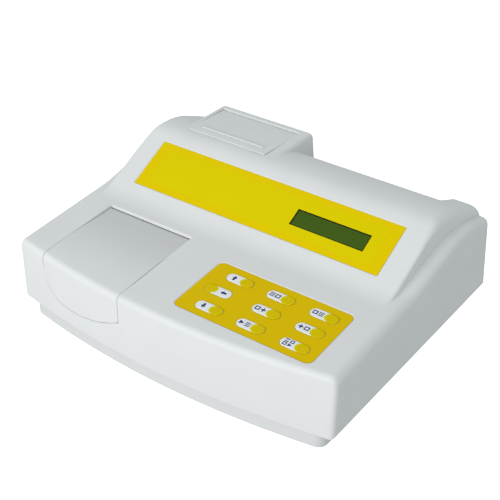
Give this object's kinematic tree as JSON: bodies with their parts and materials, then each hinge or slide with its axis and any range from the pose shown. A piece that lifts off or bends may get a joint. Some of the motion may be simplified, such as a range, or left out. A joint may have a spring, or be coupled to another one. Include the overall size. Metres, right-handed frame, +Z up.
{
  "type": "digital water tester",
  "caption": "Bench water tester: white casing with a hinged sample lid, membrane keypad, character display, and a receipt printer behind.",
  "frame": {"origin": "middle of the footprint's bounding box, on the surface that the feet stand on", "axes": "+X to the right seen from the front, +Y to the back, +Z up"},
  "size_m": [0.358, 0.307, 0.1398],
  "materials": {
    "casing_white": "fine moulded satin, off-white ABS",
    "black_plastic": "fine matt black",
    "grey_plastic": "plain moulded grey",
    "rubber": "matt black",
    "steel": "plated",
    "plate_metal": "satin",
    "overlay_yellow": "printed polyester film, satin",
    "key_film": "embossed printed film, white and yellow",
    "lcd_green": "dark green reflective display",
    "clear_glass": "clear",
    "circuit_board": "green solder mask",
    "paper": "thermal receipt paper"
  },
  "bodies": {
    "casing": {"upper_casing": "casing_white", "lower_casing": "casing_white", "sample_compartment": "black_plastic", "cell_block": "black_plastic", "lamp_holder": "black_plastic", "power_inlet": "black_plastic", "switch_frame": "black_plastic", "fuse_holder": "black_plastic", "well_collar": "grey_plastic", "printer_frame": "grey_plastic", "paper_spindle": "grey_plastic", "foot_front_left": "rubber", "foot_front_right": "rubber", "foot_rear_left": "rubber", "foot_rear_right": "rubber", "case_screw_1": "steel", "case_screw_2": "steel", "case_screw_3": "steel", "case_screw_4": "steel", "lid_hinge_pin": "steel", "door_hinge_pin": "steel", "panel_screw_1": "steel", "panel_screw_2": "steel", "detector": "steel", "scatter_detector": "steel", "rear_panel": "plate_metal", "serial_port": "plate_metal", "print_head": "plate_metal", "printer_motor": "plate_metal", "lcd_frame": "plate_metal", "transformer": "plate_metal", "display_overlay": "overlay_yellow", "keypad_overlay": "overlay_yellow", "lcd_glass": "lcd_green", "lamp": "clear_glass", "lens": "clear_glass", "main_board": "circuit_board", "keypad_board": "circuit_board", "lcd_board": "circuit_board", "detector_board": "circuit_board"},
    "lid": {"sample_lid": "casing_white"},
    "door": {"printer_door": "casing_white"},
    "rocker": {"power_switch": "black_plastic"},
    "fuse_drawer": {"fuse_cap": "black_plastic"},
    "platen": {"platen_roller": "rubber", "platen_gear": "grey_plastic"},
    "drive_gear": {"motor_gear": "grey_plastic"},
    "roll": {"paper_roll": "paper"},
    "key_up": {"key_up": "key_film"},
    "key_menu": {"key_menu": "key_film"},
    "key_print": {"key_print": "key_film"},
    "key_left": {"key_left": "key_film"},
    "key_zero": {"key_zero": "key_film"},
    "key_store": {"key_store": "key_film"},
    "key_down": {"key_down": "key_film"},
    "key_test": {"key_test": "key_film"},
    "key_enter": {"key_enter": "key_film"}
  },
  "joints": [
    {"name": "lid_hinge", "type": "hinge", "parent": "casing", "child": "lid", "pos_m": [-0.09075, -0.0471, 0.09081], "axis": [-1, 0, 0], "range_deg": [0, 95]},
    {"name": "door_hinge", "type": "hinge", "parent": "casing", "child": "door", "pos_m": [-0.082, 0.125, 0.1354], "axis": [-1, 0, 0], "range_deg": [0, 95]},
    {"name": "power_rocker", "type": "hinge", "parent": "casing", "child": "rocker", "pos_m": [0.066, 0.1071, 0.078], "axis": [0, 0, -1], "range_deg": [0, 18]},
    {"name": "fuse_cap_turn", "type": "hinge", "parent": "casing", "child": "fuse_drawer", "pos_m": [0.089, 0.1094, 0.078], "axis": [0, 1, 0], "range_deg": [0, 90]},
    {"name": "platen_spin", "type": "hinge", "parent": "casing", "child": "platen", "pos_m": [-0.082, 0.0785, 0.122], "axis": [1, 0, 0], "continuous": true},
    {"name": "motor_gear_spin", "type": "hinge", "parent": "casing", "child": "drive_gear", "pos_m": [-0.0328, 0.0785, 0.106], "axis": [1, 0, 0], "continuous": true},
    {"name": "paper_roll_spin", "type": "hinge", "parent": "casing", "child": "roll", "pos_m": [-0.082, 0.1025, 0.112], "axis": [1, 0, 0], "continuous": true},
    {"name": "key_up_press", "type": "slide", "parent": "casing", "child": "key_up", "axis": [0, 0.0768, -0.997], "range_m": [0, 0.0004], "stiffness_N_per_m": 2000},
    {"name": "key_menu_press", "type": "slide", "parent": "casing", "child": "key_menu", "axis": [0, 0.0768, -0.997], "range_m": [0, 0.0004], "stiffness_N_per_m": 2000},
    {"name": "key_print_press", "type": "slide", "parent": "casing", "child": "key_print", "axis": [0, 0.0768, -0.997], "range_m": [0, 0.0004], "stiffness_N_per_m": 2000},
    {"name": "key_left_press", "type": "slide", "parent": "casing", "child": "key_left", "axis": [0, 0.0768, -0.997], "range_m": [0, 0.0004], "stiffness_N_per_m": 2000},
    {"name": "key_zero_press", "type": "slide", "parent": "casing", "child": "key_zero", "axis": [0, 0.0768, -0.997], "range_m": [0, 0.0004], "stiffness_N_per_m": 2000},
    {"name": "key_store_press", "type": "slide", "parent": "casing", "child": "key_store", "axis": [0, 0.0768, -0.997], "range_m": [0, 0.0004], "stiffness_N_per_m": 2000},
    {"name": "key_down_press", "type": "slide", "parent": "casing", "child": "key_down", "axis": [0, 0.0768, -0.997], "range_m": [0, 0.0004], "stiffness_N_per_m": 2000},
    {"name": "key_test_press", "type": "slide", "parent": "casing", "child": "key_test", "axis": [0, 0.0768, -0.997], "range_m": [0, 0.0004], "stiffness_N_per_m": 2000},
    {"name": "key_enter_press", "type": "slide", "parent": "casing", "child": "key_enter", "axis": [0, 0.0768, -0.997], "range_m": [0, 0.0004], "stiffness_N_per_m": 2000}
  ],
  "couplings": [
    {"joint": "motor_gear_spin", "follows": "platen_spin", "ratio": -1.6667},
    {"joint": "paper_roll_spin", "follows": "platen_spin", "ratio": 0.25714}
  ]
}
